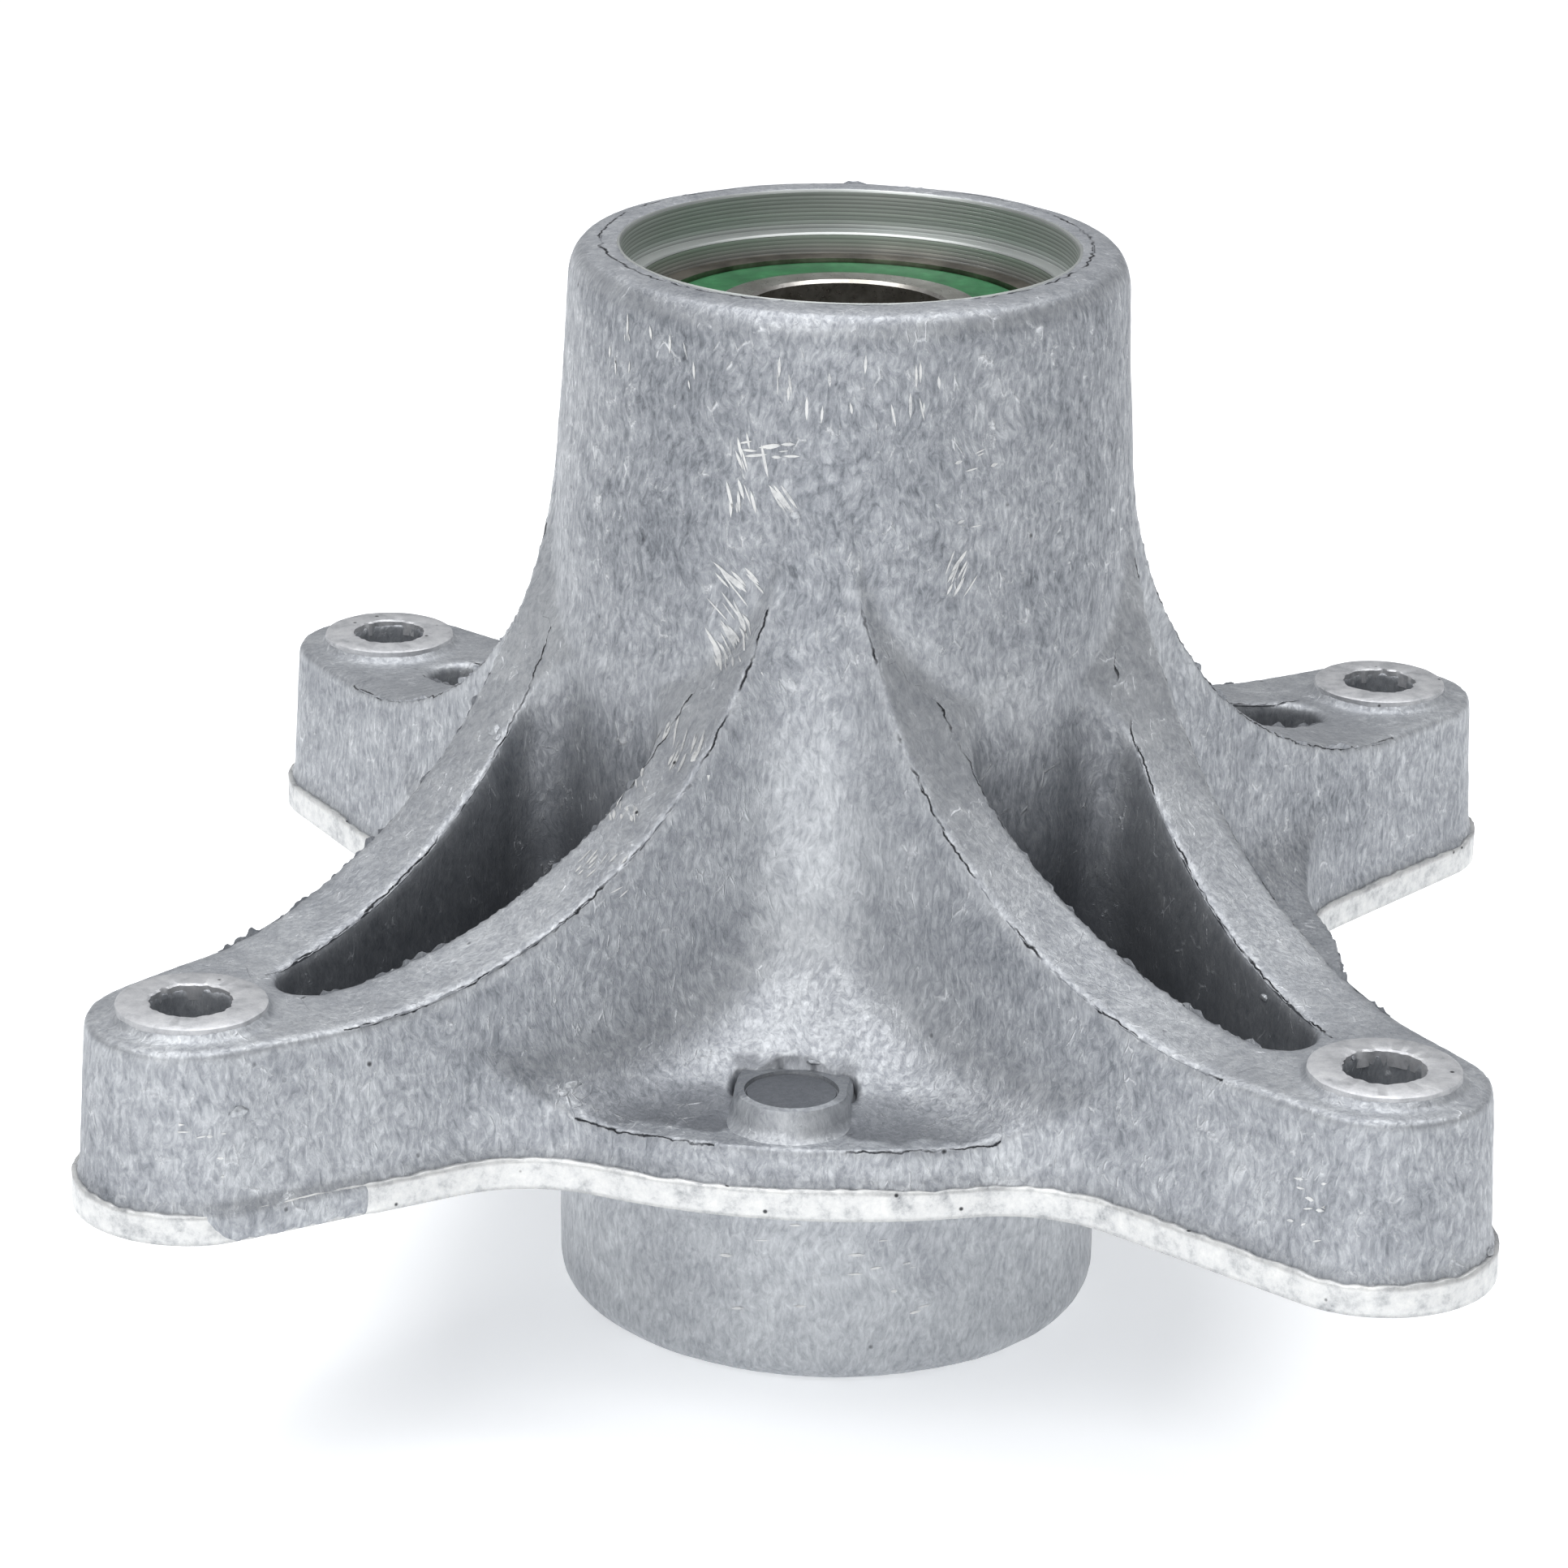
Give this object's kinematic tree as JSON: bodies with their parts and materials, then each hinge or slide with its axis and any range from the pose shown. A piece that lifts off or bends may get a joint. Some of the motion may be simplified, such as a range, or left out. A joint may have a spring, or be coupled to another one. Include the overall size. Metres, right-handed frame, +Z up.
{
  "type": "mower deck spindle housing",
  "caption": "Die-cast mower spindle housing: tapered hub with bearing seats, ribbed square flange for deck screws, and pressed-in sealed ball bearings with a spacer tube between them.",
  "frame": {"origin": "centre of the square of deck screw holes, on the flange's underside and on the spindle axis", "axes": "+Z up along the spindle axis towards the hub's top, -Y towards the small blind boss, the screw holes on the diagonals"},
  "size_m": [0.1274, 0.1274, 0.1054],
  "materials": {
    "cast_aluminium": "as cast, tumbled and mottled, machined in the bores",
    "bearing_steel": "ground ring faces with a light oil film",
    "seal_rubber": "green moulded rubber, satin",
    "ball_steel": "polished bearing balls",
    "cage_steel": "pressed ribbon steel",
    "spacer_steel": "plain drawn steel tube"
  },
  "bodies": {
    "housing_body": {"housing": "cast_aluminium", "upper_bearing_outer_ring": "bearing_steel", "upper_bearing_top_seal": "seal_rubber", "upper_bearing_bottom_seal": "seal_rubber", "lower_bearing_outer_ring": "bearing_steel", "lower_bearing_top_seal": "seal_rubber", "lower_bearing_bottom_seal": "seal_rubber"},
    "upper_inner_body": {"upper_bearing_inner_ring": "bearing_steel"},
    "upper_cage_body": {"upper_bearing_cage_top": "cage_steel", "upper_bearing_cage_bottom": "cage_steel", "upper_bearing_ball_1": "ball_steel", "upper_bearing_ball_2": "ball_steel", "upper_bearing_ball_3": "ball_steel", "upper_bearing_ball_4": "ball_steel", "upper_bearing_ball_5": "ball_steel", "upper_bearing_ball_6": "ball_steel", "upper_bearing_ball_7": "ball_steel", "upper_bearing_ball_8": "ball_steel"},
    "lower_inner_body": {"lower_bearing_inner_ring": "bearing_steel", "bearing_spacer_tube": "spacer_steel"},
    "lower_cage_body": {"lower_bearing_cage_top": "cage_steel", "lower_bearing_cage_bottom": "cage_steel", "lower_bearing_ball_1": "ball_steel", "lower_bearing_ball_2": "ball_steel", "lower_bearing_ball_3": "ball_steel", "lower_bearing_ball_4": "ball_steel", "lower_bearing_ball_5": "ball_steel", "lower_bearing_ball_6": "ball_steel", "lower_bearing_ball_7": "ball_steel", "lower_bearing_ball_8": "ball_steel"}
  },
  "joints": [
    {"name": "upper_bearing_spin", "type": "hinge", "parent": "housing_body", "child": "upper_inner_body", "pos_m": [0, 0, 0.0651], "axis": [0, 0, 1], "continuous": true},
    {"name": "lower_bearing_spin", "type": "hinge", "parent": "housing_body", "child": "lower_inner_body", "pos_m": [0, 0, -0.0194], "axis": [0, 0, 1], "continuous": true},
    {"name": "upper_cage_spin", "type": "hinge", "parent": "housing_body", "child": "upper_cage_body", "pos_m": [0, 0, 0.0651], "axis": [0, 0, 1], "continuous": true},
    {"name": "lower_cage_spin", "type": "hinge", "parent": "housing_body", "child": "lower_cage_body", "pos_m": [0, 0, -0.0194], "axis": [0, 0, 1], "continuous": true}
  ],
  "couplings": [
    {"joint": "upper_cage_spin", "follows": "upper_bearing_spin", "ratio": 0.3849},
    {"joint": "lower_cage_spin", "follows": "lower_bearing_spin", "ratio": 0.3849}
  ]
}
